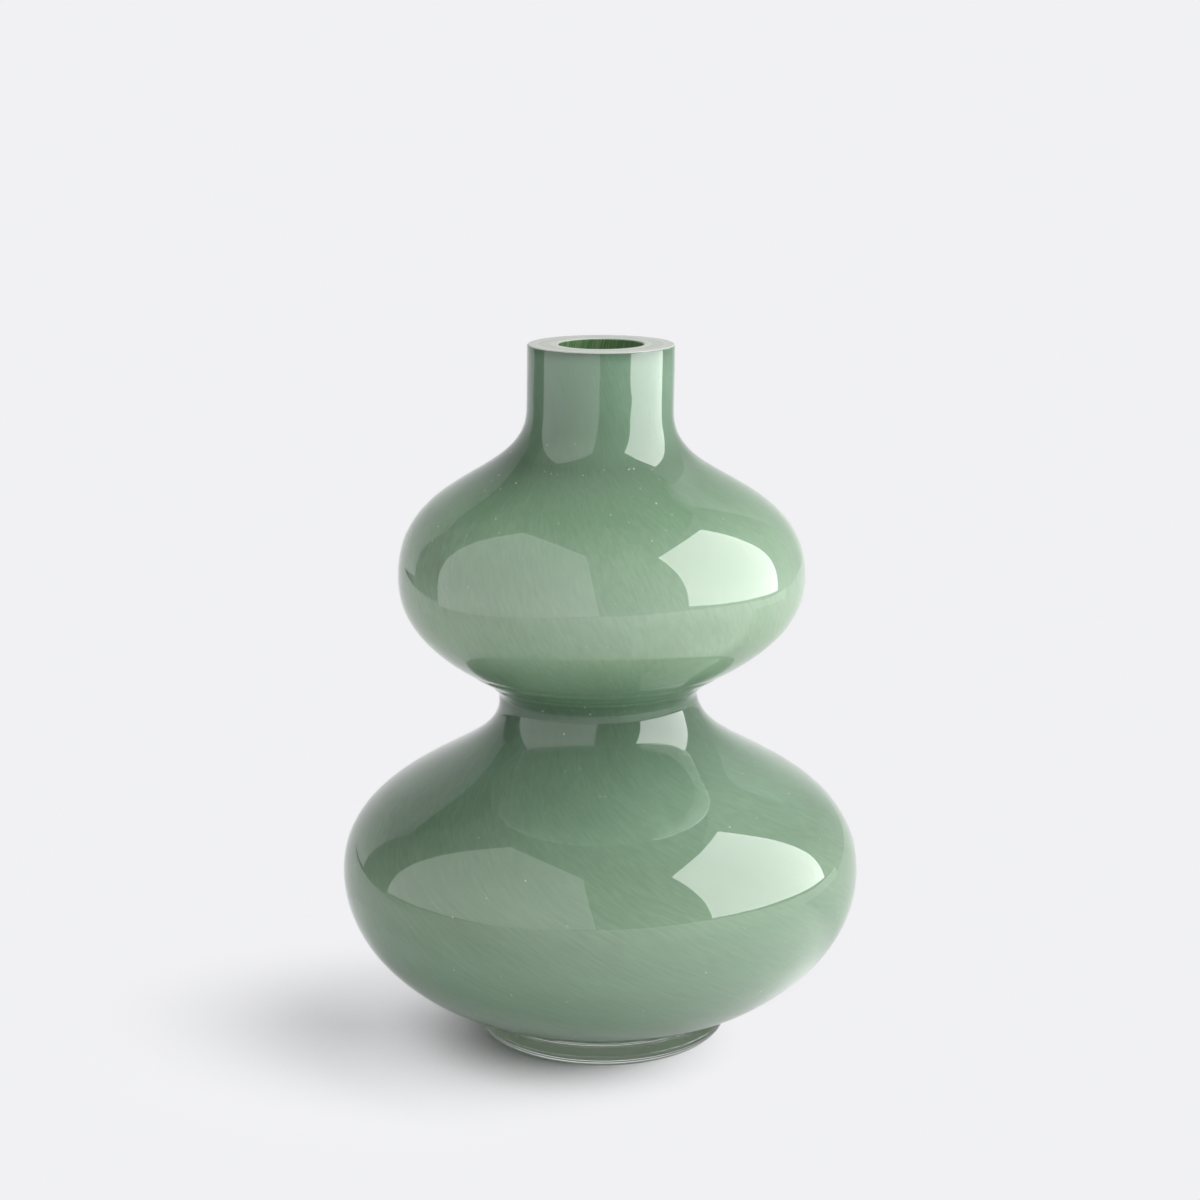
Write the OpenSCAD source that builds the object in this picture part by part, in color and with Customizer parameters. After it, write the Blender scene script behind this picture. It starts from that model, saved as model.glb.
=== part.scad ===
// Mouth-blown cased glass vase: a straight cut neck over two stacked bulbs, on a clear glass foot.
// Three layers of glass are fused into one wall, and each layer is a solid of its own.
// Origin at the middle of the foot's underside, +Z up, millimetres.

/* [Outline] */
// Height from the table to the cut rim
height = 220; // [196:1:244]
// Outer diameter of the neck
neck_d = 45; // [40:0.5:52]
// Length of the straight part of the neck
neck_len = 20; // [8:0.5:26]
// Outer diameter of the upper bulb
upper_d = 126; // [104:1:144]
// Height of the upper bulb's widest line, as a share of the whole height
upper_z_share = 0.675; // [0.65:0.001:0.7]
// Outer diameter of the waist between the bulbs
waist_d = 62; // [54:0.5:74]
// Height of the waist's narrowest line, as a share of the whole height
waist_z_share = 0.502; // [0.47:0.001:0.53]
// Outer diameter of the lower bulb
lower_d = 162.5; // [140:0.5:180]
// Height of the lower bulb's widest line, as a share of the whole height
lower_z_share = 0.248; // [0.225:0.001:0.275]

/* [Roundness] */
// How far the neck runs on straight, then how flat the shoulder meets the upper bulb
shoulder_shares = [0.443, 0.618]; // [0.2:0.01:0.8]
// How full the upper bulb's underside is, then how tight it turns into the waist
underside_shares = [0.633, 0.204]; // [0.15:0.01:0.8]
// How soft the waist opens, then how full the lower bulb's shoulder is
lower_shoulder_shares = [0.382, 0.594]; // [0.2:0.01:0.8]
// How full the lower bulb's belly is, then how flat it runs in to the foot
belly_shares = [0.344, 0.798]; // [0.2:0.01:0.9]
// How flat the buried base runs in from the foot, then how flat its middle is
base_shares = [0.35, 0.5]; // [0.2:0.01:0.6]

/* [Foot] */
// Outer diameter of the clear foot at its widest line
foot_d = 78.8; // [76:0.1:90]
// Diameter at which the body runs out into the foot's fillet
crease_d = 76; // [68:0.5:78]
// Height of that line above the table
crease_z = 9.25; // [8.5:0.05:11]
// Slope of the body there, in degrees
crease_slope = 18.4; // [10:0.2:26]
// Radius of the fillet that turns the body's skin down into the foot's side
crease_fillet_r = 2.5; // [1:0.1:3]
// Height of the foot's widest line, as a share of the height of its neck under the fillet
foot_wide_share = 0.72; // [0.5:0.01:0.85]
// How far the foot's side stands upright at its neck and at its widest line
foot_side_share = 0.5; // [0.3:0.01:0.7]
// Width of the fire-polished rounding, from the widest line in to the ring that the vase stands on
foot_edge_w = 7.5; // [3:0.1:10]
// Thickness of the clear foot at its middle, from the table up
foot_mid_t = 4.4; // [3:0.1:5.5]
// Diameter of the ground and polished hollow under the foot
punt_d = 46; // [30:1:56]
// Depth of the hollow under the foot
punt_depth = 0.5; // [0.3:0.1:1.5]

/* [Rim] */
// Width of the polished bevel on the rim's outer and inner edge
arris = 0.4; // [0.2:0.1:1]

/* [Clear casing thickness] */
// In the neck
casing_neck_t = 3.4; // [2:0.1:4]
// At the upper bulb's widest line
casing_upper_t = 1.9; // [1:0.1:3]
// At the waist
casing_waist_t = 2.6; // [1.6:0.1:3.4]
// At the lower bulb's widest line
casing_lower_t = 1.9; // [1:0.1:3]
// Over the crease
casing_crease_t = 2.2; // [1.2:0.1:3]
// Under the middle
casing_base_t = 2.4; // [1.4:0.1:3.4]

/* [Colour layer thickness] */
// In the neck
colour_neck_t = 3.6; // [2:0.1:4.2]
// At the upper bulb's widest line
colour_upper_t = 1.5; // [1:0.1:3]
// At the waist
colour_waist_t = 2.5; // [1.6:0.1:3.4]
// At the lower bulb's widest line
colour_lower_t = 1.5; // [1:0.1:3]
// Over the crease
colour_crease_t = 2; // [1.2:0.1:3]
// Under the middle
colour_base_t = 2.2; // [1.4:0.1:3.4]

/* [Inner gather thickness] */
// In the neck
gather_neck_t = 2.5; // [1.6:0.1:3.4]
// At the upper bulb's widest line
gather_upper_t = 1.4; // [1:0.1:3]
// At the waist
gather_waist_t = 2.1; // [1.4:0.1:3]
// At the lower bulb's widest line
gather_lower_t = 1.5; // [1:0.1:3]
// Over the crease
gather_crease_t = 2.4; // [1.4:0.1:3.4]
// Under the middle
gather_base_t = 3; // [1.8:0.1:4]

/* [Jack marks] */
// Number of grooves that the jacks left above the waist
groove_count = 2; // [1:1:3]
// Depth of a groove
groove_depth = 0.35; // [0.1:0.05:0.6]
// Height that a groove takes up
groove_w = 3.4; // [2:0.1:4]
// Height of the lowest groove above the waist
groove_rise = 5.2; // [3:0.1:7]
// Height between grooves
groove_pitch = 4.8; // [4:0.1:6]

/* [Hidden] */

// Points on each curve between two stations, and on the grooved one
curve_steps = 16;
grooved_steps = 52;
arc_steps = 8;
edge_steps = 12;
$fn = 144;

neck_r = neck_d / 2;
neck_end_z = height - neck_len;
upper_z = upper_z_share * height;
waist_z = waist_z_share * height;
lower_z = lower_z_share * height;
shoulder_rise = neck_end_z - upper_z;
underside_rise = upper_z - waist_z;
lower_rise = waist_z - lower_z;
belly_rise = lower_z - crease_z;
belly_in = lower_d / 2 - crease_d / 2;

neck_end = [neck_r, neck_end_z];
upper = [upper_d / 2, upper_z];
waist = [waist_d / 2, waist_z];
lower = [lower_d / 2, lower_z];
crease = [crease_d / 2, crease_z];
base_mid = [0, foot_mid_t];
down = [0, -1];
crease_dir = [-cos(crease_slope), -sin(crease_slope)];
fillet_middle = crease + crease_fillet_r * [sin(crease_slope), -cos(crease_slope)];
foot_wide_z = foot_wide_share * fillet_middle[1];

// The outline from the neck to the middle of the base, as curves of two ends and two handles
CURVES = [
    [
        neck_end,
        neck_end + down * shoulder_shares[0] * shoulder_rise,
        upper - down * shoulder_shares[1] * shoulder_rise,
        upper
    ],
    [
        upper,
        upper + down * underside_shares[0] * underside_rise,
        waist - down * underside_shares[1] * underside_rise,
        waist
    ],
    [
        waist,
        waist + down * lower_shoulder_shares[0] * lower_rise,
        lower - down * lower_shoulder_shares[1] * lower_rise,
        lower
    ],
    [
        lower,
        lower + down * belly_shares[0] * belly_rise,
        crease - crease_dir * belly_shares[1] * belly_in,
        crease
    ],
    [
        crease,
        crease + crease_dir * base_shares[0] * crease[0],
        base_mid + [base_shares[1] * crease[0], 0],
        base_mid
    ]
];
underside_curve = 1;

// Thickness of each layer at the two ends of each curve, from the outside in
CASING_T = [casing_neck_t, casing_upper_t, casing_waist_t, casing_lower_t, casing_crease_t, casing_base_t];
COLOUR_T = [colour_neck_t, colour_upper_t, colour_waist_t, colour_lower_t, colour_crease_t, colour_base_t];
GATHER_T = [gather_neck_t, gather_upper_t, gather_waist_t, gather_lower_t, gather_crease_t, gather_base_t];

// Depth under the outer skin at which each face lies: skin, casing's inside, colour's inside, cavity
FACE_DEPTH = [
    [for (t = CASING_T) 0],
    CASING_T,
    CASING_T + COLOUR_T,
    CASING_T + COLOUR_T + GATHER_T
];
skin = 0;
casing_inside = 1;
colour_inside = 2;
cavity = 3;

function bezier(c, t) =
    pow(1 - t, 3) * c[0] + 3 * pow(1 - t, 2) * t * c[1] + 3 * (1 - t) * t * t * c[2] + pow(t, 3) * c[3];

function bezier_run(c, t) =
    pow(1 - t, 2) * (c[1] - c[0]) + 2 * (1 - t) * t * (c[2] - c[1]) + t * t * (c[3] - c[2]);

// Unit vector into the glass, square to the outline
function inward(c, t) = let (run = bezier_run(c, t)) [run[1], -run[0]] / norm(run);

function ease(t) = t * t * (3 - 2 * t);

// Depth of a groove at height z, zero away from its middle
function groove_at(z, middle) =
    abs(z - middle) < groove_w / 2 ? groove_depth * pow(cos(180 * (z - middle) / groove_w), 2) : 0;

function sum_of(list, i = 0) = i < len(list) ? list[i] + sum_of(list, i + 1) : 0;

function grooves(z) =
    sum_of([for (i = [0:groove_count - 1]) groove_at(z, waist_z + groove_rise + i * groove_pitch)]);

function face_depth(face, k, t) =
    FACE_DEPTH[face][k] + ease(t) * (FACE_DEPTH[face][k + 1] - FACE_DEPTH[face][k]);

function grooved(face, k) = face == skin && k == underside_curve;

function face_point(face, k, t) =
    let (
        on_skin = bezier(CURVES[k], t),
        cut = grooved(face, k) ? grooves(on_skin[1]) : 0
    )
    on_skin + inward(CURVES[k], t) * (face_depth(face, k, t) + cut);

// One face of the glass from under the rim down to the axis; the last point is put on the axis
function face_line(face, first = 0) = concat(
    [
        for (k = [first:len(CURVES) - 1])
            let (steps = grooved(face, k) ? grooved_steps : curve_steps)
            for (i = [(k == first ? 0 : 1):steps])
                if (k < len(CURVES) - 1 || i < steps) face_point(face, k, i / steps)
    ],
    [[0, base_mid[1] + FACE_DEPTH[face][len(CURVES)]]]
);

function reversed(list) = [for (i = [len(list) - 1:-1:0]) list[i]];

// Where a face comes up to the ground rim, with its bevel if it is the outer or inner edge
function rim_points(face) =
    let (r = neck_r - FACE_DEPTH[face][0])
    face == skin ? [[r - arris, height], [r, height - arris]]
    : face == cavity ? [[r + arris, height], [r, height - arris]]
    : [[r, height]];

module glass_layer(outside, inside) {
    rotate_extrude()
        polygon(concat(
            rim_points(outside),
            face_line(outside),
            reversed(face_line(inside)),
            reversed(rim_points(inside))
        ));
}

// Clear overlay, thick at the cut neck and thin over the bulbs, with the jack marks above the waist
module clear_casing() {
    color([0.78, 0.88, 0.82, 0.35])
        glass_layer(skin, casing_inside);
}

// Streaky green opaline glass that gives the vase its colour
module colour_layer() {
    color([0.42, 0.58, 0.46])
        glass_layer(casing_inside, colour_inside);
}

// First gather off the pipe, a green lining round the bore, the waist passage and both hollows
module inner_gather() {
    color([0.24, 0.38, 0.24])
        glass_layer(colour_inside, cavity);
}

// Hollow fillet from the foot's neck, where its side stands upright, out to the body's skin
function foot_fillet() =
    [
        for (i = [0:arc_steps - 1])
            let (a = 180 - (90 - crease_slope) * i / arc_steps)
            fillet_middle + crease_fillet_r * [cos(a), sin(a)]
    ];

// The foot's side, from its widest line in to its neck
function foot_side() =
    let (
        wide = [foot_d / 2, foot_wide_z],
        neck = fillet_middle - [crease_fillet_r, 0],
        upright = foot_side_share * (neck[1] - foot_wide_z),
        side = [wide, wide - down * upright, neck + down * upright, neck]
    )
    [for (i = [1:arc_steps - 1]) bezier(side, i / arc_steps)];

// The rounding under the widest line, a quarter of an ellipse
function foot_edge() =
    [
        for (i = [0:edge_steps])
            let (a = -90 + 90 * i / edge_steps)
            [foot_d / 2 - foot_edge_w + foot_edge_w * cos(a), foot_wide_z + foot_wide_z * sin(a)]
    ];

// The hollow under the foot, an arc from its middle out to its rim
function punt() =
    let (
        half = punt_d / 2,
        ball_r = (half * half + punt_depth * punt_depth) / (2 * punt_depth),
        reach = asin(half / ball_r)
    )
    [
        for (i = [0:arc_steps])
            let (a = reach * i / arc_steps)
            i < arc_steps ? [ball_r * sin(a), punt_depth - ball_r * (1 - cos(a))] : [half, 0]
    ];

// Thick clear disc under the body, hollowed so that it stands on a ring
module clear_foot() {
    color([0.72, 0.84, 0.76, 0.3])
        rotate_extrude()
            polygon(concat(
                punt(),
                foot_edge(),
                foot_side(),
                foot_fillet(),
                face_line(skin, len(CURVES) - 1)
            ));
}

clear_casing();
colour_layer();
inner_gather();
clear_foot();
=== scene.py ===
import math

import bpy
import numpy as np
from mathutils import Matrix, Vector


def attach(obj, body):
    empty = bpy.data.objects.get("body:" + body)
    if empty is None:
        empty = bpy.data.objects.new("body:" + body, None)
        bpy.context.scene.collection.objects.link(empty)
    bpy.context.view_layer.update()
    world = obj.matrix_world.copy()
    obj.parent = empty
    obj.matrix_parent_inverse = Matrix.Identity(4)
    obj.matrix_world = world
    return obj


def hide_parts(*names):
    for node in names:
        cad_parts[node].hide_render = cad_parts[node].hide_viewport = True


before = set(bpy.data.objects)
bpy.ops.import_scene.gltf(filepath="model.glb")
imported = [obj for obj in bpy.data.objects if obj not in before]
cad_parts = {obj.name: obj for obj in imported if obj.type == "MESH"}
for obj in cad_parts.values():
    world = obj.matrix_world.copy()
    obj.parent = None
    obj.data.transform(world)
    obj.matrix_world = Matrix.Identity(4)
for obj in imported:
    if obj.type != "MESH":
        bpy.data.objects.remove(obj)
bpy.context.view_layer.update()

MM = 0.001
rng = np.random.default_rng(17)


# Outline of the blown wall, the same as in the solids

HEIGHT = 220.0
NECK_R = 22.5
NECK_LEN = 20.0
UPPER = np.array([63.0, 0.675 * HEIGHT])
WAIST = np.array([31.0, 0.502 * HEIGHT])
LOWER = np.array([81.25, 0.248 * HEIGHT])
CREASE = np.array([38.0, 9.25])
CREASE_SLOPE = math.radians(18.4)
BASE_MID = np.array([0.0, 4.4])
ARRIS = 0.4

NECK_END = np.array([NECK_R, HEIGHT - NECK_LEN])
DOWN = np.array([0.0, -1.0])
CREASE_DIR = np.array([-math.cos(CREASE_SLOPE), -math.sin(CREASE_SLOPE)])

# How far a curve's two handles reach, as shares of its rise, and of its run where it lies flat
SHOULDER_PULL = (0.443, 0.618)
UNDERSIDE_PULL = (0.633, 0.204)
LOWER_PULL = (0.382, 0.594)
BELLY_PULL = (0.344, 0.798)
BASE_PULL = (0.35, 0.5)


def upright_curve(top, bottom, pull):
    """Curve that is upright at both ends."""
    rise = top[1] - bottom[1]
    return top, top + DOWN * pull[0] * rise, bottom - DOWN * pull[1] * rise, bottom


BELLY_RISE, BELLY_RUN = LOWER[1] - CREASE[1], LOWER[0] - CREASE[0]
CURVES = [
    upright_curve(NECK_END, UPPER, SHOULDER_PULL),
    upright_curve(UPPER, WAIST, UNDERSIDE_PULL),
    upright_curve(WAIST, LOWER, LOWER_PULL),
    (
        LOWER, LOWER + DOWN * BELLY_PULL[0] * BELLY_RISE,
        CREASE - CREASE_DIR * BELLY_PULL[1] * BELLY_RUN, CREASE,
    ),
    (
        CREASE, CREASE + CREASE_DIR * BASE_PULL[0] * CREASE[0],
        BASE_MID + [BASE_PULL[1] * CREASE[0], 0], BASE_MID,
    ),
]
UNDERSIDE = 1
BASE = 4

# Thickness of the layers in the neck, at the upper bulb, waist, lower bulb, crease and base
CASING_T = np.array([3.4, 1.9, 2.6, 1.9, 2.2, 2.4])
COLOUR_T = np.array([3.6, 1.5, 2.5, 1.5, 2.0, 2.2])
LINING_T = np.array([2.5, 1.4, 2.1, 1.5, 2.4, 3.0])

# Depth of the layers' faces under the skin
SKIN = np.zeros(len(CASING_T))
CASING_INSIDE = CASING_T
COLOUR_INSIDE = CASING_INSIDE + COLOUR_T
CAVITY = COLOUR_INSIDE + LINING_T

# The casing laps the colour by this much, so that light meets glass and never a hair of air.
# The lap grows from the rim down, and from this depth on it is whole.
LAP = 0.05
LAP_FULL_AT = 4.0

# Marks of the jacks above the waist
GROOVE_DEPTH = 0.35
GROOVE_W = 3.4
GROOVES_Z = [WAIST[1] + 5.2, WAIST[1] + 10.0]

# Clear foot: widest radius, rounded lower edge, where it is widest, how upright its side is, fillet, hollow
FOOT_R = 39.4
FOOT_EDGE_W = 7.5
FOOT_WIDE_SHARE = 0.72
FOOT_SIDE_SHARE = 0.5
FILLET_R = 2.5
PUNT_R = 23.0
PUNT_DEPTH = 0.5

# Fineness of the meshes: steps along the outlines and round the axis, and the bend that stays a sharp edge
CURVE_STEPS = 44
GROOVED_STEPS = 84
LENGTH_STEPS = 64
PUNT_STEPS, EDGE_STEPS, SIDE_STEPS, FILLET_STEPS = 16, 32, 16, 20
TURNS = 160
SHARP_ANGLE = math.radians(28)

# Depths under the rim at which the neck has a ring of points
NECK_RINGS = (1.0, 2.0, 4.0, 8.0, 14.0)

# A point nearer to the axis than this is on it
ON_AXIS = 1e-6


def bezier(c, t):
    return (1 - t) ** 3 * c[0] + 3 * (1 - t) ** 2 * t * c[1] + 3 * (1 - t) * t * t * c[2] + t ** 3 * c[3]


def inward(c, t):
    """Unit vector into the glass, square to the outline."""
    run = (1 - t) ** 2 * (c[1] - c[0]) + 2 * (1 - t) * t * (c[2] - c[1]) + t * t * (c[3] - c[2])
    return np.array([run[1], -run[0]]) / np.linalg.norm(run)


def ease(t):
    return t * t * (3 - 2 * t)


def groove(z):
    """Depth of the jacks' marks at a height."""
    near = [abs(z - middle) for middle in GROOVES_Z]
    return sum(GROOVE_DEPTH * math.cos(math.pi * d / GROOVE_W) ** 2 for d in near if d < GROOVE_W / 2)


ALONG = np.linspace(0, 1, LENGTH_STEPS + 1)


def skin_lengths():
    """Length along the skin from the rim down, curve by curve, which the streaks follow."""
    lengths = []
    total = NECK_LEN
    for curve in CURVES:
        steps = np.linalg.norm(np.diff([bezier(curve, t) for t in ALONG], axis=0), axis=1)
        lengths.append(total + np.concatenate([[0], np.cumsum(steps)]))
        total = lengths[-1][-1]
    return lengths


SKIN_LENGTHS = skin_lengths()


def face_line(depths, lap=0.0, grooved=False, last=BASE):
    """One face of the wall from under the neck to the axis, as rows of radius, height, length."""
    rows = []
    for k in range(last + 1):
        steps = GROOVED_STEPS if k == UNDERSIDE else CURVE_STEPS
        for i in range(0 if k == 0 else 1, steps + 1):
            t = i / steps
            on_skin = bezier(CURVES[k], t)
            depth = depths[k] + ease(t) * (depths[k + 1] - depths[k]) + lap
            if grooved and k == UNDERSIDE:
                depth += groove(on_skin[1])
            point = on_skin + inward(CURVES[k], t) * depth
            rows.append([max(point[0], 0.0), point[1], float(np.interp(t, ALONG, SKIN_LENGTHS[k]))])
    if last == BASE:
        rows[-1][0] = 0.0
    return rows


def rim_rows(depths, lap=0.0, bevel=0.0):
    """A face in the neck up to the ground rim; bevel is how far its arris steps outwards there."""
    r = NECK_R - depths[0]
    rows = [[r + bevel, HEIGHT, 0.0]]
    if bevel:
        rows.append([r, HEIGHT - ARRIS, ARRIS])
    for depth in NECK_RINGS:
        rows.append([r - lap * ease(min(depth / LAP_FULL_AT, 1.0)), HEIGHT - depth, depth])
    return rows


# Hand-blown lean: size, height and spread of each swell to one side
LEANS = [(0.25, 222, 15), (-1.05, 181, 11), (0.42, 151, 13), (-1.2, 117, 11), (0.7, 90, 16), (0.65, 0, 9)]


def lean(z):
    return sum(offset * np.exp(-((z - middle) / spread) ** 2) for offset, middle, spread in LEANS)


# Ripple of the fire-polished skin: waves round it, height over which each slants, phase and share.
# It dies out towards the rim and the crease.
RIPPLES = [
    (3, 11.0, 0.0, 1.0), (5, -7.0, 1.3, 1.0), (2, 5.0, 0.0, 1.0),
    (7, 1.3, 0.0, 0.35), (4, -1.7, 0.8, 0.35), (9, 2.3, 0.0, 0.35),
]
SKIN_RIPPLE = 0.012
RIPPLE_FADE = 20.0


def skin_ripple(phi, z):
    kept = min(1.0, max(0.0, (HEIGHT - z) / RIPPLE_FADE), max(0.0, (z - CREASE[1]) / RIPPLE_FADE))
    waves = [share * np.sin(count * phi + z / slant + phase) for count, slant, phase, share in RIPPLES]
    return kept * sum(waves)


# How far the streaks have turned round the axis, in radians, at lengths down the skin
TWIST_LENGTHS = [0, 20, 45, 85, 130, 165, 205, 260, 320, 400]
TWISTED_BY = [0.0, 0.33, 0.60, 0.78, 1.12, 1.40, 1.90, 2.95, 4.35, 6.2]

# The streaks are drawn on a tube of this radius, on which their width is true
FLOW_R = 42.0


def piece_from(name, points, faces):
    """Object from points in millimetres."""
    mesh = bpy.data.meshes.new(name)
    mesh.from_pydata((np.array(points) * MM).tolist(), [], faces)
    piece = bpy.data.objects.new(name, mesh)
    bpy.context.scene.collection.objects.link(piece)
    return piece


def turned(name, rows, ripple=0.0, closed=True):
    """Piece turned from an outline, with the streaks' coordinates in millimetres on it."""
    angles = np.linspace(0, 2 * math.pi, TURNS, endpoint=False)
    points, flows, rings = [], [], []
    for r, z, length in rows:
        count = 1 if r < ON_AXIS else TURNS
        phi = angles[:count]
        radius = r + ripple * skin_ripple(phi, z)
        around = phi - np.interp(length, TWIST_LENGTHS, TWISTED_BY)
        across = [radius * np.cos(phi) + lean(z), radius * np.sin(phi), np.full(count, z)]
        flow = [FLOW_R * np.cos(around), FLOW_R * np.sin(around), np.full(count, length)]
        rings.append((len(points), count))
        points += np.column_stack(across).tolist()
        flows += np.column_stack(flow).tolist()
    faces = []
    for i in range(len(rings) if closed else len(rings) - 1):
        (a, a_count), (b, b_count) = rings[i], rings[(i + 1) % len(rings)]
        if a_count == b_count == 1:
            continue
        for j in range(TURNS):
            k = (j + 1) % TURNS
            if a_count == 1:
                faces.append((a, b + j, b + k))
            elif b_count == 1:
                faces.append((a + j, b, a + k))
            else:
                faces.append((a + j, b + j, b + k, a + k))
    piece = piece_from(name, points, faces)
    mesh = piece.data
    if sum(face.center.dot(face.normal) * face.area for face in mesh.polygons) < 0:
        mesh.flip_normals()
    mesh.polygons.foreach_set("use_smooth", [True] * len(mesh.polygons))
    mesh.set_sharp_from_angle(angle=SHARP_ANGLE)
    mesh.attributes.new("flow", "FLOAT_VECTOR", "POINT").data.foreach_set("vector", np.array(flows).ravel())
    return piece


# Materials

MULTIPLY = {"operation": "MULTIPLY"}
MULTIPLY_ADD = {"operation": "MULTIPLY_ADD"}
LARGER = {"operation": "MAXIMUM"}
LESS = {"operation": "LESS_THAN"}
SCALE = {"operation": "SCALE"}
LENGTH = {"operation": "LENGTH"}
SMOOTH = {"interpolation_type": "SMOOTHSTEP"}
COLOURS = {"data_type": "RGBA"}
GLASS_IOR = 1.5


def linear(hex_code):
    """Linear colour of an sRGB hex value."""
    values = [int(hex_code[i:i + 2], 16) / 255 for i in (1, 3, 5)]
    return [v / 12.92 if v <= 0.04045 else ((v + 0.055) / 1.055) ** 2.4 for v in values] + [1.0]


def add(tree, kind, settings=None, feeds=(), stops=(), **named):
    """One node: its settings, what feeds its sockets in order or by name, and a ramp's stops.

    A feed is a value, another node's socket, or a node, which stands for its first output.
    """
    made = tree.nodes.new(kind)
    for key, value in (settings or {}).items():
        setattr(made, key, value)
    fed = list(zip([socket for socket in made.inputs if socket.enabled], feeds))
    fed += [(made.inputs[key.replace("_", " ")], value) for key, value in named.items()]
    for socket, value in fed:
        if isinstance(value, bpy.types.Node):
            value = next(output for output in value.outputs if output.enabled)
        if isinstance(value, bpy.types.NodeSocket):
            tree.links.new(value, socket)
        else:
            socket.default_value = value
    if stops:
        points = made.color_ramp.elements
        while len(points) < len(stops):
            points.new(0.5)
        for point, (position, colour) in zip(points, stops):
            point.position = position
            point.color = linear(colour)
    return made


def new_material(name):
    material = bpy.data.materials.new(name)
    material.use_nodes = True
    material.node_tree.nodes.clear()
    return material, material.node_tree


def height_on_piece(tree):
    """Height on a piece of the vase, in millimetres."""
    place = add(tree, "ShaderNodeTexCoord")
    parts = add(tree, "ShaderNodeSeparateXYZ", Vector=place.outputs["Object"])
    return add(tree, "ShaderNodeMath", {"operation": "DIVIDE"}, [parts.outputs["Z"], MM])


# Ground glass at the cut rim, whatever layer it belongs to, and the depths over which it fades in
GROUND_RIM = "#8C8F8A"
GROUND_ROUGH = 0.6
GROUND_FADE = (0.26, 0.16)


def rim_mask(tree):
    """1 on the ground rim and 0 below it."""
    low, high = (HEIGHT - depth for depth in GROUND_FADE)
    return add(tree, "ShaderNodeMapRange", feeds=[height_on_piece(tree), low, high, 0.0, 1.0])


# How much the finer part of the noise counts in all streaks
STREAK_HARSHNESS = 0.55


def streaks(tree, width, stretch, detail, curl, shift):
    """Noise drawn out along the blown glass: width across a streak at the bulbs, in millimetres."""
    flow = add(tree, "ShaderNodeAttribute", {"attribute_name": "flow"})
    drawn = [flow.outputs["Vector"], (1.0, 1.0, 1.0 / stretch), (shift, shift, shift)]
    return add(
        tree, "ShaderNodeTexNoise", Vector=add(tree, "ShaderNodeVectorMath", MULTIPLY_ADD, drawn),
        Scale=1.0 / width, Detail=detail, Roughness=STREAK_HARSHNESS, Distortion=curl,
    )


# Clear lead-free crystal, fire-polished: mirror-smooth, with a ground rim that scatters like satin
def clear_casing_glass():
    material, tree = new_material("fire_polished_clear_crystal")
    ground = rim_mask(tree)
    shader = add(
        tree, "ShaderNodeBsdfPrincipled", IOR=GLASS_IOR,
        Base_Color=add(tree, "ShaderNodeMix", COLOURS, [ground, linear("#F1F8F2"), linear(GROUND_RIM)]),
        Roughness=add(tree, "ShaderNodeMath", MULTIPLY, [ground, GROUND_ROUGH]),
        Transmission_Weight=add(tree, "ShaderNodeMath", {"operation": "SUBTRACT"}, [1.0, ground]),
    )
    add(tree, "ShaderNodeOutputMaterial", Surface=shader)
    return material


# Paler and darker rings in the colour just above the waist: distance apart, height of a pale one,
# how far they reach down and up, over what height they fade, and how pale and dark they are
RING_PITCH = 2.35
RING_TOP = 120.5
RINGS_FROM, RINGS_TO = 113.5, 121.6
RINGS_FADE_BELOW, RINGS_FADE_ABOVE = 1.5, 0.8
RING_CONTRAST = 0.1


def rings_above_waist(tree, height):
    """Faint paler and darker rings round the drawn-in glass, as a factor near 1."""
    per_mm = 2 * math.pi / RING_PITCH
    turn = add(tree, "ShaderNodeMath", MULTIPLY_ADD, [height, per_mm, math.pi / 2 - per_mm * RING_TOP])
    wave = add(tree, "ShaderNodeMath", {"operation": "SINE"}, [turn])
    below = [height, RINGS_FROM, RINGS_FROM + RINGS_FADE_BELOW, 0.0, RING_CONTRAST]
    above = [height, RINGS_TO - RINGS_FADE_ABOVE, RINGS_TO, 1.0, 0.0]
    ends = [add(tree, "ShaderNodeMapRange", SMOOTH, feeds) for feeds in (below, above)]
    strength = add(tree, "ShaderNodeMath", MULTIPLY, ends)
    return add(tree, "ShaderNodeMath", MULTIPLY_ADD, [wave, strength, 1.0])


# Colour of the opaline glass from the foot up to the rim, by share of the height: paler over the foot
# and at each bulb's widest line, deep in the waist and under the neck. Besides the glass's own colour,
# the stops hold painted light and shade: painted bounce light on the upper bulb's underside, painted shade
# in the waist
COLOUR_LIGHT_AND_SHADE_BY_HEIGHT = [
    (0.03, "#A2AC9F"), (0.06, "#87A188"), (0.20, "#91AB93"), (0.27, "#95AA94"),
    (0.34, "#809681"), (0.42, "#829B86"), (0.50, "#7B9680"), (0.54, "#82A485"),
    (0.62, "#AAC1A6"), (0.68, "#AABDA9"), (0.79, "#79927A"), (0.84, "#6E8370"),
    (0.87, "#7A947E"), (0.99, "#8BA690"),
]

# Streaks of the opaline glass: width in millimetres, length in widths, detail, curl, place in the noise.
# Real ones are threads of some tenths of a millimetre: the fine ones are drawn wide enough to show.
FINE_THREADS = (0.75, 5.0, 3.0, 0.4, 0.0)
BROAD_STREAKS = (1.8, 7.0, 2.0, 0.8, 31.0)
MILKY_CLOUDS = (8.0, 2.5, 2.0, 0.5, 7.0)
BROAD_SHARE, CLOUD_SHARE = 0.15, 0.35

# Their noises, added up, run over this span and darken or lighten the colour to these levels
STREAK_SPAN = (0.25, 1.25)
STREAK_LEVELS = (0.83, 1.17)

# The colour layer has no polished face of its own: dull, with hardly a gloss
OPALINE_ROUGH = 0.6
OPALINE_GLOSS = 0.1
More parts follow.
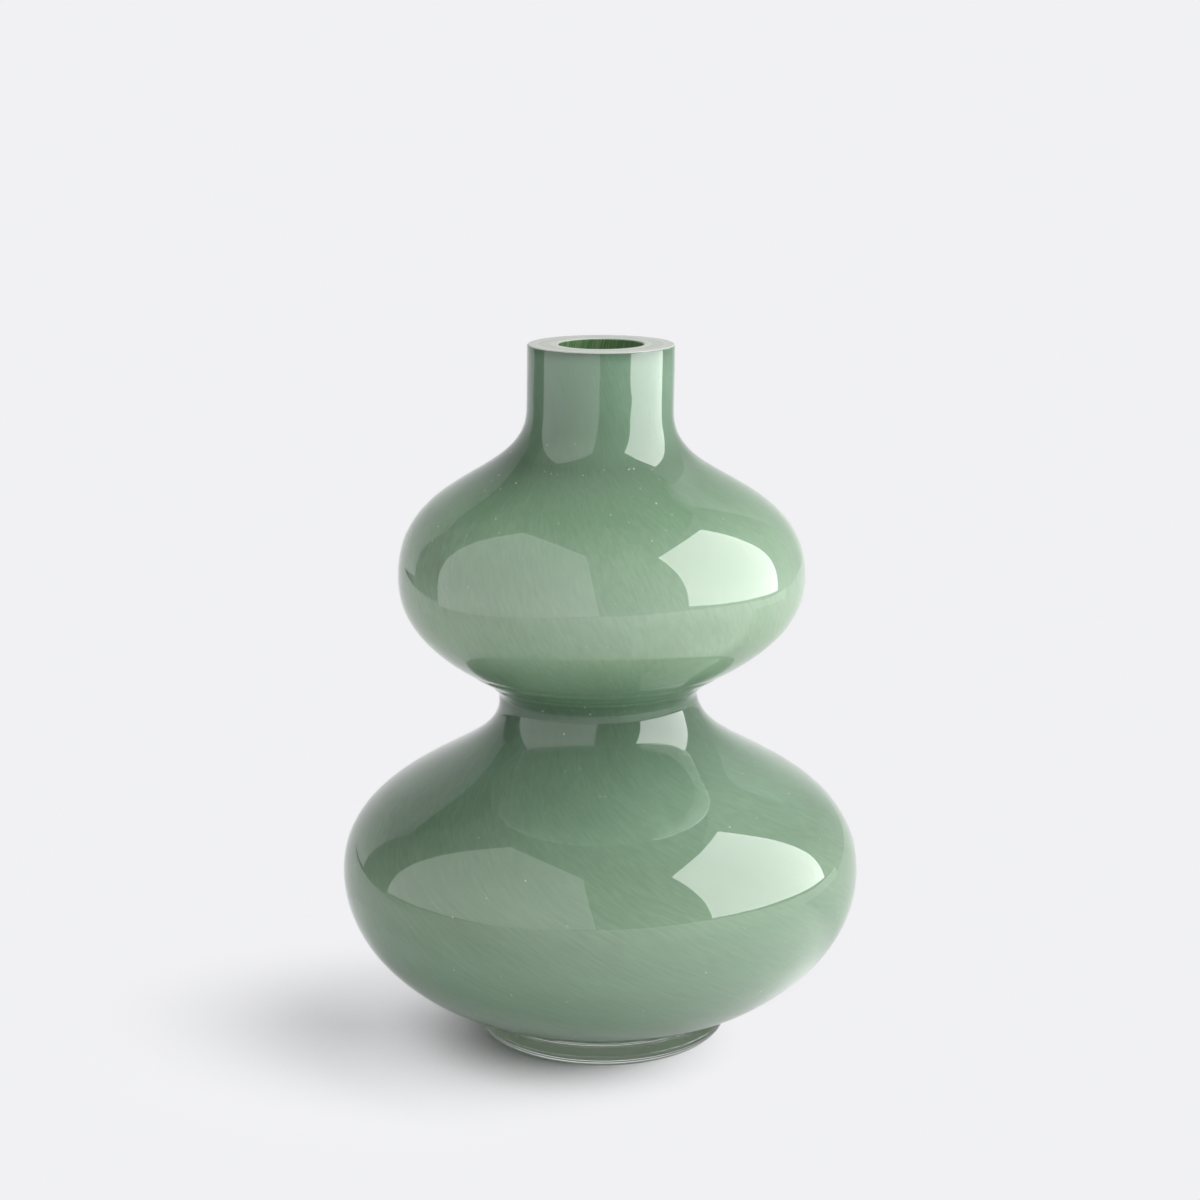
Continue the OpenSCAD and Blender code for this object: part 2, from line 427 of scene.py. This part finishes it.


# Opaline colour glass, paler where it was blown out and deep where it was drawn in,
# with painted light and shade in its colour by height
def green_opaline_glass():
    material, tree = new_material("streaky_green_opaline_glass")
    height = height_on_piece(tree)
    share = add(tree, "ShaderNodeMath", {"operation": "DIVIDE"}, [height, HEIGHT])
    # Colour by height: the glass's own, with painted bounce light and painted shade in it
    body = add(tree, "ShaderNodeValToRGB", Fac=share, stops=COLOUR_LIGHT_AND_SHADE_BY_HEIGHT)
    fine, broad, clouds = (streaks(tree, *kind) for kind in (FINE_THREADS, BROAD_STREAKS, MILKY_CLOUDS))
    lines = add(tree, "ShaderNodeMath", MULTIPLY_ADD, [broad, BROAD_SHARE, fine])
    all_three = add(tree, "ShaderNodeMath", MULTIPLY_ADD, [clouds, CLOUD_SHARE, lines])
    level = add(tree, "ShaderNodeMapRange", feeds=[all_three, *STREAK_SPAN, *STREAK_LEVELS])
    level = add(tree, "ShaderNodeMath", MULTIPLY, [level, rings_above_waist(tree, height)])
    streaked = add(tree, "ShaderNodeVectorMath", SCALE, [body, level])
    colour = add(tree, "ShaderNodeMix", COLOURS, [rim_mask(tree), streaked, linear(GROUND_RIM)])
    shader = add(
        tree, "ShaderNodeBsdfPrincipled", Base_Color=colour, Roughness=OPALINE_ROUGH, IOR=GLASS_IOR,
        Specular_IOR_Level=OPALINE_GLOSS,
    )
    add(tree, "ShaderNodeOutputMaterial", Surface=shader)
    return material


LINING_CORDS = (1.6, 9.0, 2.0, 0.4, 12.0)
CORD_COLOURS = [(0.3, "#3E583C"), (0.5, "#466442"), (0.66, "#617454"), (0.8, "#4B6647")]
LINING_ROUGH = 0.08


# Deep green lining, the first gather off the pipe: glossy, with yellowish cords drawn round it
def green_lining_glass():
    material, tree = new_material("deep_green_lining_glass")
    body = add(tree, "ShaderNodeValToRGB", Fac=streaks(tree, *LINING_CORDS), stops=CORD_COLOURS)
    ground = rim_mask(tree)
    shader = add(
        tree, "ShaderNodeBsdfPrincipled", IOR=GLASS_IOR,
        Base_Color=add(tree, "ShaderNodeMix", COLOURS, [ground, body, linear(GROUND_RIM)]),
        Roughness=add(tree, "ShaderNodeMapRange", feeds=[ground, 0.0, 1.0, LINING_ROUGH, GROUND_ROUGH]),
    )
    add(tree, "ShaderNodeOutputMaterial", Surface=shader)
    return material


# Thick clear foot glass, fire-polished, with the faint green that iron gives a heavy piece
def clear_foot_glass():
    material, tree = new_material("thick_clear_foot_glass")
    shader = add(
        tree, "ShaderNodeBsdfPrincipled", Base_Color=linear("#F1F6F1"), Roughness=0.0, IOR=GLASS_IOR,
        Transmission_Weight=1.0,
    )
    add(tree, "ShaderNodeOutputMaterial", Surface=shader)
    return material


SEED_ROUGH = 0.2


# Air trapped in the hot glass, drawn as small opaque balls whose pale colour is a painted glint for the
# shine of a bubble
def trapped_air():
    material, tree = new_material("trapped_air_seeds")
    shader = add(
        tree, "ShaderNodeBsdfPrincipled", Base_Color=linear("#EEF4EC"), Roughness=SEED_ROUGH, IOR=GLASS_IOR,
    )
    add(tree, "ShaderNodeOutputMaterial", Surface=shader)
    return material


def dress(piece, material, node):
    """Gives a piece its glass and its body, and hides the node that it stands for, if any."""
    piece.data.materials.append(material)
    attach(piece, "root")
    if node:
        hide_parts(node)


# The four pieces of glass

# Foot and overlay are one clear mass where they fuse, so neither has a face there
casing = turned(
    "overlay_casing",
    (rim_rows(SKIN, bevel=-ARRIS) + face_line(SKIN, grooved=True, last=BASE - 1))[::-1]
    + rim_rows(CASING_INSIDE, LAP) + face_line(CASING_INSIDE, LAP),
    ripple=SKIN_RIPPLE, closed=False,
)
dress(casing, clear_casing_glass(), "clear_casing")

colour = turned(
    "opaline_colour",
    rim_rows(CASING_INSIDE) + face_line(CASING_INSIDE)
    + (rim_rows(COLOUR_INSIDE) + face_line(COLOUR_INSIDE))[::-1],
)
dress(colour, green_opaline_glass(), "colour_layer")

lining = turned(
    "lining_gather",
    rim_rows(COLOUR_INSIDE) + face_line(COLOUR_INSIDE)
    + (rim_rows(CAVITY, bevel=ARRIS) + face_line(CAVITY))[::-1],
)
dress(lining, green_lining_glass(), "inner_gather")


def foot_rows():
    """Outline of the clear foot from the middle of its polished hollow round to the crease."""
    ball_r = (PUNT_R ** 2 + PUNT_DEPTH ** 2) / (2 * PUNT_DEPTH)
    hollow = np.linspace(0, math.asin(PUNT_R / ball_r), PUNT_STEPS + 1)
    rows = [[ball_r * math.sin(a), PUNT_DEPTH - ball_r * (1 - math.cos(a))] for a in hollow]
    fillet_middle = CREASE + FILLET_R * np.array([math.sin(CREASE_SLOPE), -math.cos(CREASE_SLOPE)])
    neck = fillet_middle - [FILLET_R, 0.0]
    wide = np.array([FOOT_R, FOOT_WIDE_SHARE * neck[1]])
    for a in np.linspace(-math.pi / 2, 0, EDGE_STEPS + 1):
        rows.append([FOOT_R - FOOT_EDGE_W + FOOT_EDGE_W * math.cos(a), wide[1] + wide[1] * math.sin(a)])
    upright = -DOWN * FOOT_SIDE_SHARE * (neck[1] - wide[1])
    side = (wide, wide + upright, neck - upright, neck)
    rows += [bezier(side, t).tolist() for t in np.linspace(0, 1, SIDE_STEPS + 1)[1:-1]]
    for a in np.linspace(math.pi, math.pi / 2 + CREASE_SLOPE, FILLET_STEPS + 1):
        rows.append((fillet_middle + FILLET_R * np.array([math.cos(a), math.sin(a)])).tolist())
    return [[r, max(z, 0.0), 0.0] for r, z in rows]


foot = turned("foot_disc", foot_rows(), closed=False)
dress(foot, clear_foot_glass(), "clear_foot")


# Seed bubbles: how many, their share in each curve of the wall, place along it, depth and size
SEED_COUNT = 420
SEED_SHARES = [0.3, 0.22, 0.26, 0.22]
SEED_ALONG = (0.08, 0.97)
SEED_DEPTH = (0.45, 1.5)
SEED_R, SEED_SPREAD, SEED_R_MOST = 0.14, 0.3, 0.24
SEED_SPLITS = 2


def half_way(corners, halves, a, b):
    """Index of the corner half way along an edge, made the first time it is asked for."""
    edge = (min(a, b), max(a, b))
    if edge not in halves:
        halves[edge] = len(corners)
        corners.append(((corners[a] + corners[b]) / 2).normalized())
    return halves[edge]


def unit_ball(splits):
    """Ball of radius 1: eight triangles, each split into four as often as asked."""
    corners = [Vector(v) for v in [(0, 0, 1), (0, 0, -1), (1, 0, 0), (-1, 0, 0), (0, 1, 0), (0, -1, 0)]]
    triangles = [(0, 2, 4), (0, 4, 3), (0, 3, 5), (0, 5, 2), (1, 4, 2), (1, 3, 4), (1, 5, 3), (1, 2, 5)]
    for _ in range(splits):
        finer, halves = [], {}
        for a, b, c in triangles:
            ab = half_way(corners, halves, a, b)
            bc = half_way(corners, halves, b, c)
            ca = half_way(corners, halves, c, a)
            finer += [(a, ab, ca), (ab, b, bc), (ca, bc, c), (ab, bc, ca)]
        triangles = finer
    return np.array(corners), triangles


def seeds(name):
    """Small air bubbles at random places in the clear overlay, in one mesh."""
    ball, triangles = unit_ball(SEED_SPLITS)
    points, faces = [], []
    for _ in range(SEED_COUNT):
        curve = CURVES[int(rng.choice([0, 1, 2, 3], p=SEED_SHARES))]
        t = float(rng.uniform(*SEED_ALONG))
        depth = float(rng.uniform(*SEED_DEPTH))
        radius = float(min(SEED_R_MOST, SEED_R * rng.lognormal(0.0, SEED_SPREAD)))
        phi = float(rng.uniform(0, 2 * math.pi))
        r, z = bezier(curve, t) + inward(curve, t) * depth
        centre = np.array([r * math.cos(phi) + lean(z), r * math.sin(phi), z])
        faces += [tuple(i + len(points) for i in triangle) for triangle in triangles]
        points += (centre + ball * radius).tolist()
    piece = piece_from(name, points, faces)
    piece.data.polygons.foreach_set("use_smooth", [True] * len(faces))
    return piece


dress(seeds("air_seeds"), trapped_air(), None)


# Studio: pale table and backdrop, two tall panels, a low white sweep in front and a wall on the right.
# The glass mirrors all of them; brightnesses of mirror images are given with white as 1.

PALE = "#F1F1F3"
TABLE_HALF = 760
BACKDROP_HALF = 1380
BACKDROP_Y = 1000
BACKDROP_TOP = 2000
TABLE_Z = -0.02

# Ovals on the table: middle, turn in radians, squeeze, and where their soft edge starts and ends
CAST_SHADOW = ((-81.0, -2.3), 2.525, 0.782, -39.0, 92.0)
CONTACT_SHADOW = ((-15.7, -10.1), 0.0, 1.0, 11.1, 63.5)
FOOT_SHADE = ((-24.0, -5.0), 0.0, 1.0, 55.0, 115.0)
OUT_BY_SWEEP = ((0.0, 0.0), 0.0, 1.0, 150.0, 300.0)

# Mirror image of the table: its brightness at the left and right, near the vase and out by the sweep
NEAR_X, NEAR_LEVELS = (-150.0, 150.0), (0.85, 2.3)
OUTER_X, OUTER_LEVELS = (-300.0, 300.0), (1.15, 1.75)

# What is left of it at the table's right edge and by the foot; behind the vase the table is plain
EDGE_X, EDGE_SHARE = (300.0, 760.0), 0.4
FOOT_SHADE_SHARE = 0.35
PLAIN_FROM_Y = (-20.0, 40.0)

# Mirror image of the backdrop: on the left it dims upwards and ends at a line, on the right it brightens
DIM_Z, DIM_SHARE = (100.0, 1000.0), 0.5
LINE_Z = 1120.0
LINE_X = (50.0, 500.0)
RIGHT_X = (300.0, 770.0)
RIGHT_Z, RIGHT_FOOT_SHARE = (300.0, 1200.0), 0.55
RIGHT_END_Z = (1500.0, 2000.0)

# Light that comes down through the vase to the table under it, as seen and as given back
UNDER_FOOT_SEEN, UNDER_FOOT_GIVEN = 0.2, 0.8

# Room light from all sides
ROOM_LEVEL = 0.128


def flat(name, corners):
    """Sheet of the studio, from its four corners."""
    sheet = piece_from(name, corners, [(0, 1, 2, 3)])
    return sheet


def place_in_room(tree):
    """Place in the room, in millimetres."""
    place = add(tree, "ShaderNodeNewGeometry")
    return add(tree, "ShaderNodeVectorMath", SCALE, [place.outputs["Position"], 1.0 / MM])


def unscattered(tree, kinds):
    """1 for rays of these kinds that no matt surface has scattered: they see the background as pale."""
    path = add(tree, "ShaderNodeLightPath")
    wanted = path.outputs[kinds[0]]
    for kind in kinds[1:]:
        wanted = add(tree, "ShaderNodeMath", LARGER, [wanted, path.outputs[kind]])
    straight = add(tree, "ShaderNodeMath", LESS, [path.outputs["Diffuse Depth"], 0.5])
    return add(tree, "ShaderNodeMath", MULTIPLY, [wanted, straight])


def in_mirror(tree, level, where=1.0):
    """1 to the camera, and a level to mirror-like glass; where is the share of the level at each place."""
    path = add(tree, "ShaderNodeLightPath")
    share = add(tree, "ShaderNodeMath", MULTIPLY, [path.outputs["Is Glossy Ray"], where])
    return add(tree, "ShaderNodeMix", None, [share, 1.0, level])


def beyond(tree, place, middle, turn, squeeze, start, end):
    """0 inside an oval on the table and 1 outside it, with a soft edge."""
    oval = add(
        tree, "ShaderNodeMapping", {"vector_type": "TEXTURE"}, Vector=place,
        Location=(*middle, 0.0), Rotation=(0.0, 0.0, turn), Scale=(1.0 / squeeze, 1.0, 1.0),
    )
    away = add(tree, "ShaderNodeVectorMath", LENGTH, [oval])
    return add(tree, "ShaderNodeMapRange", SMOOTH, [away, start, end, 0.0, 1.0])


def mirrored_table(tree, place):
    """Brightness of the bare table: its mirror image grows to the right and is dim by the foot."""
    parts = add(tree, "ShaderNodeSeparateXYZ", Vector=place)
    x, y = parts.outputs["X"], parts.outputs["Y"]
    near = add(tree, "ShaderNodeMapRange", feeds=[x, *NEAR_X, *NEAR_LEVELS])
    edge = add(tree, "ShaderNodeMapRange", SMOOTH, [x, *EDGE_X, 1.0, EDGE_SHARE])
    near = add(tree, "ShaderNodeMath", MULTIPLY, [near, edge])
    outer = add(tree, "ShaderNodeMapRange", feeds=[x, *OUTER_X, *OUTER_LEVELS])
    level = add(tree, "ShaderNodeMix", None, [beyond(tree, place, *OUT_BY_SWEEP), near, outer])
    clear_of_foot = beyond(tree, place, *FOOT_SHADE)
    shade = add(tree, "ShaderNodeMapRange", feeds=[clear_of_foot, 0.0, 1.0, FOOT_SHADE_SHARE, 1.0])
    in_front = add(tree, "ShaderNodeMapRange", SMOOTH, [y, *PLAIN_FROM_Y, 1.0, 0.0])
    return in_mirror(tree, add(tree, "ShaderNodeMath", MULTIPLY, [level, shade]), in_front)


def under_foot(tree, place):
    """Light that the milky body and the clear foot pass down to the table they stand on."""
    on_table = add(tree, "ShaderNodeVectorMath", MULTIPLY, [place, (1.0, 1.0, 0.0)])
    away = add(tree, "ShaderNodeVectorMath", LENGTH, [on_table])
    inside = add(tree, "ShaderNodeMath", LESS, [away, FOOT_R - FOOT_EDGE_W])
    depth = add(tree, "ShaderNodeLightPath").outputs["Diffuse Depth"]
    level = add(tree, "ShaderNodeMapRange", feeds=[depth, 0.0, 1.0, UNDER_FOOT_SEEN, UNDER_FOOT_GIVEN])
    strength = add(tree, "ShaderNodeMath", MULTIPLY, [inside, level])
    return add(tree, "ShaderNodeEmission", Color=linear("#F0F5EE"), Strength=strength)


ALL_SIGHT = ("Is Camera Ray", "Is Glossy Ray", "Is Transmission Ray")
GRAINS_PER_MM = 0.9
LAMINATE_TONES = [(0.3, "#E1E1E3"), (0.7, "#E5E5E7")]


# Matt white laminate table, its pressed grain drawn coarse enough to show: the vase's shadow falls on it,
# and further out it is plain and pale
def table_top():
    material, tree = new_material("matt_white_laminate")
    place = place_in_room(tree)
    grain = add(tree, "ShaderNodeTexNoise", Vector=place, Scale=GRAINS_PER_MM, Detail=2.0)
    tone = add(tree, "ShaderNodeValToRGB", Fac=grain, stops=LAMINATE_TONES)
    paint = add(tree, "ShaderNodeBsdfDiffuse", Color=tone)
    glow = add(tree, "ShaderNodeEmission", Color=linear(PALE), Strength=mirrored_table(tree, place))
    ovals = [beyond(tree, place, *oval) for oval in (CAST_SHADOW, CONTACT_SHADOW)]
    far = add(tree, "ShaderNodeMath", MULTIPLY, ovals)
    pale = add(tree, "ShaderNodeMath", MULTIPLY, [far, unscattered(tree, ALL_SIGHT)])
    mixed = add(tree, "ShaderNodeMixShader", None, [pale, paint, glow])
    lit = add(tree, "ShaderNodeAddShader", None, [mixed, under_foot(tree, place)])
    add(tree, "ShaderNodeOutputMaterial", Surface=lit)
    return material


def mirrored_backdrop(tree):
    """Brightness of the backdrop: its mirror image dims upwards on the left and brightens on the right."""
    parts = add(tree, "ShaderNodeSeparateXYZ", Vector=place_in_room(tree))
    x, z = parts.outputs["X"], parts.outputs["Z"]
    upward = add(tree, "ShaderNodeMapRange", feeds=[z, *DIM_Z, 1.0, DIM_SHARE])
    over_line = add(tree, "ShaderNodeMapRange", SMOOTH, [z, LINE_Z, BACKDROP_TOP, 1.0, 0.0])
    below_line = add(tree, "ShaderNodeMath", LESS, [z, LINE_Z])
    past_line = add(tree, "ShaderNodeMapRange", SMOOTH, [x, *LINE_X, 0.0, 1.0])
    kept = add(tree, "ShaderNodeMath", LARGER, [below_line, past_line])
    upward = add(tree, "ShaderNodeMath", MULTIPLY, [upward, over_line])
    left = add(tree, "ShaderNodeMath", MULTIPLY, [upward, kept])
    right_foot = add(tree, "ShaderNodeMapRange", SMOOTH, [z, *RIGHT_Z, RIGHT_FOOT_SHARE, 1.0])
    right_end = add(tree, "ShaderNodeMapRange", SMOOTH, [z, *RIGHT_END_Z, 1.0, 0.0])
    right = add(tree, "ShaderNodeMath", MULTIPLY, [right_foot, right_end])
    side = add(tree, "ShaderNodeMapRange", SMOOTH, [x, *RIGHT_X, 0.0, 1.0])
    return in_mirror(tree, add(tree, "ShaderNodeMix", None, [side, left, right]))


# Matt paper backdrop, as pale as the table
def paper():
    material, tree = new_material("matt_backdrop_paper")
    paint = add(tree, "ShaderNodeBsdfDiffuse", Color=linear("#E4E4E6"))
    glow = add(tree, "ShaderNodeEmission", Color=linear(PALE), Strength=mirrored_backdrop(tree))
    mixed = add(tree, "ShaderNodeMixShader", None, [unscattered(tree, ALL_SIGHT), paint, glow])
    add(tree, "ShaderNodeOutputMaterial", Surface=mixed)
    return material


table = flat("table", [
    (-TABLE_HALF, -TABLE_HALF, TABLE_Z), (TABLE_HALF, -TABLE_HALF, TABLE_Z),
    (TABLE_HALF, BACKDROP_Y, TABLE_Z), (-TABLE_HALF, BACKDROP_Y, TABLE_Z),
])
table.data.materials.append(table_top())
backdrop = flat("backdrop", [
    (-BACKDROP_HALF, BACKDROP_Y, TABLE_Z), (BACKDROP_HALF, BACKDROP_Y, TABLE_Z),
    (BACKDROP_HALF, BACKDROP_Y, BACKDROP_TOP), (-BACKDROP_HALF, BACKDROP_Y, BACKDROP_TOP),
])
backdrop.data.materials.append(paper())


# Kinds of ray that pass a glow sheet by
UNSEEN_BY = (
    "visible_camera", "visible_diffuse", "visible_transmission", "visible_volume_scatter", "visible_shadow",
)


def glow_sheet(name, corners, faces, level, slant=(0.0, 0.0, 0.0)):
    """White sheet that only mirror-like glass sees; slant is how its level grows along x, y, z per metre."""
    sheet = piece_from(name, corners, faces)
    material, tree = new_material(name)
    place = add(tree, "ShaderNodeNewGeometry").outputs["Position"]
    growth = add(tree, "ShaderNodeVectorMath", {"operation": "DOT_PRODUCT"}, [place, slant])
    strength = add(tree, "ShaderNodeMath", {"operation": "ADD"}, [growth, level])
    glow = add(tree, "ShaderNodeEmission", Color=linear("#FFFFFF"), Strength=strength)
    add(tree, "ShaderNodeOutputMaterial", Surface=glow)
    sheet.data.materials.append(material)
    for ray in UNSEEN_BY:
        setattr(sheet, ray, False)


def soft_box(name, middle, axes, width, height, level):
    """Area lamp that no camera or mirror sees; axes are its across, up and back."""
    lamp = bpy.data.lights.new(name, "AREA")
    lamp.shape = "RECTANGLE"
    lamp.size, lamp.size_y = width * MM, height * MM
    lamp.energy = level * math.pi * lamp.size * lamp.size_y
    holder = bpy.data.objects.new(name, lamp)
    holder.matrix_world = Matrix.Translation(middle * MM) @ Matrix(axes).transposed().to_4x4()
    holder.visible_camera = False
    holder.visible_glossy = False
    bpy.context.scene.collection.objects.link(holder)


def panel(name, top_left, top_right, down, drop, seen, level, hem=(0, 0, 0)):
    """Panel from its top corners and the way down: how bright its mirror image is, and how much it lights.

    hem is how far its face is cut short at the lower edge's left end, middle and right end.
    """
    a, b, fall = Vector(top_left), Vector(top_right), Vector(down).normalized()
    across = (b - a).normalized()
    up = -(fall - across * fall.dot(across)).normalized()
    middle = (a + b) / 2 - up * drop / 2
    if across.cross(up).dot(middle) < 0:
        across = -across
    if level:
        soft_box(name, middle, (across, up, across.cross(up)), (b - a).length, drop, level)
    lower = [top - up * (drop - cut) for top, cut in zip((a, (a + b) / 2, b), hem)]
    glow_sheet(name + "_face", [a, *lower, b], [(0, 1, 2, 3, 4)], seen)


def aimed_box(name, place, size, level):
    """Square soft box turned to the waist of the vase."""
    middle = Vector(place)
    back = (middle - Vector((0.0, 0.0, WAIST[1]))).normalized()
    across = Vector((0.0, 0.0, 1.0)).cross(back).normalized()
    soft_box(name, middle, (across, back.cross(across), back), size, size, level)


panel(
    "right_panel", top_left=(446, -422, 996), top_right=(516, 254, 956), down=(0.059, -0.064, -0.996),
    drop=891, seen=7.5, level=3.9,
)
panel(
    "left_panel", top_left=(-569, 94, 1321), top_right=(-151, -657, 1391), down=(0.104, -0.035, -0.994),
    drop=1350, seen=1.85, level=0.0, hem=(69, 62, 0),
)
aimed_box("right_top_light", place=(500, 0, 1100), size=600, level=10.8)
aimed_box("front_left_light", place=(-410, -610, 860), size=600, level=6.0)

# White sweep round the front of the table: azimuth from the camera's side in degrees, distance and height
# of its edge, and how far the edge is dark from the top down
SWEEP = [
    (-100, 605, 30, 0), (-80, 455, 45, 0), (-40, 405, 71, 0), (0, 380, 101, 4), (40, 392, 113, 7),
    (60, 430, 107, 11), (80, 480, 94, 17), (100, 560, 75, 20), (120, 610, 56, 0),
]
SWEEP_STEP = 4.0
SWEEP_LEVEL, SWEEP_SLANT = 1.1, (0.8, -0.7, 0.0)
SWEEP_EDGE_LEVEL = 0.03


def sweep_band(from_table):
    """The white part of the sweep, from the table up, or the dark part above it."""
    azimuth, far, tall, dark = np.array(SWEEP, float).T
    turn = np.radians(np.arange(azimuth[0], azimuth[-1] + 1, SWEEP_STEP))
    far, tall, dark = (np.interp(turn, np.radians(azimuth), column) for column in (far, tall, dark))
    low, high = (0 * tall, tall - dark) if from_table else (tall - dark, tall)
    rows = [np.column_stack([far * np.sin(turn), -far * np.cos(turn), height]) for height in (low, high)]
    n = len(turn)
    return np.concatenate(rows), [(i, i + 1, n + i + 1, n + i) for i in range(n - 1)]


glow_sheet("white_sweep", *sweep_band(True), SWEEP_LEVEL, SWEEP_SLANT)
glow_sheet("sweep_edge", *sweep_band(False), SWEEP_EDGE_LEVEL)

# Pale wall beside the table on the right
WALL_X, WALL_FRONT, WALL_TOP = 770, 180, 1600
WALL_LEVEL = 0.5
WALL = [
    (WALL_X, WALL_FRONT, 0), (WALL_X, BACKDROP_Y, 0),
    (WALL_X, BACKDROP_Y, WALL_TOP), (WALL_X, WALL_FRONT, WALL_TOP),
]
glow_sheet("side_wall", WALL, [(0, 1, 2, 3)], WALL_LEVEL)

world = bpy.data.worlds.new("studio_air")
bpy.context.scene.world = world
world.use_nodes = True
sky = world.node_tree
sky.nodes.clear()
pale_view = unscattered(sky, ("Is Camera Ray", "Is Transmission Ray"))
room = add(sky, "ShaderNodeBackground", Color=linear("#FFFFFF"), Strength=ROOM_LEVEL)
plain = add(sky, "ShaderNodeBackground", Color=linear(PALE), Strength=1.0)
add(sky, "ShaderNodeOutputWorld", Surface=add(sky, "ShaderNodeMixShader", None, [pale_view, room, plain]))


# Camera where the photograph was taken from

CAMERA_AT = (-0.075, -760.0, 313.5)
LOOKS_DOWN = 12.849
SENSOR_W = 36.0
LENS = 75.27
NEAREST = 10.0

camera_data = bpy.data.cameras.new("camera")
camera_data.sensor_width = SENSOR_W
camera_data.lens = LENS
camera_data.clip_start = NEAREST * MM
camera = bpy.data.objects.new("camera", camera_data)
camera.location = Vector(CAMERA_AT) * MM
camera.rotation_euler = (math.radians(90 - LOOKS_DOWN), 0.0, 0.0)
bpy.context.scene.collection.objects.link(camera)
bpy.context.scene.camera = camera
bpy.context.scene.view_settings.view_transform = "Standard"
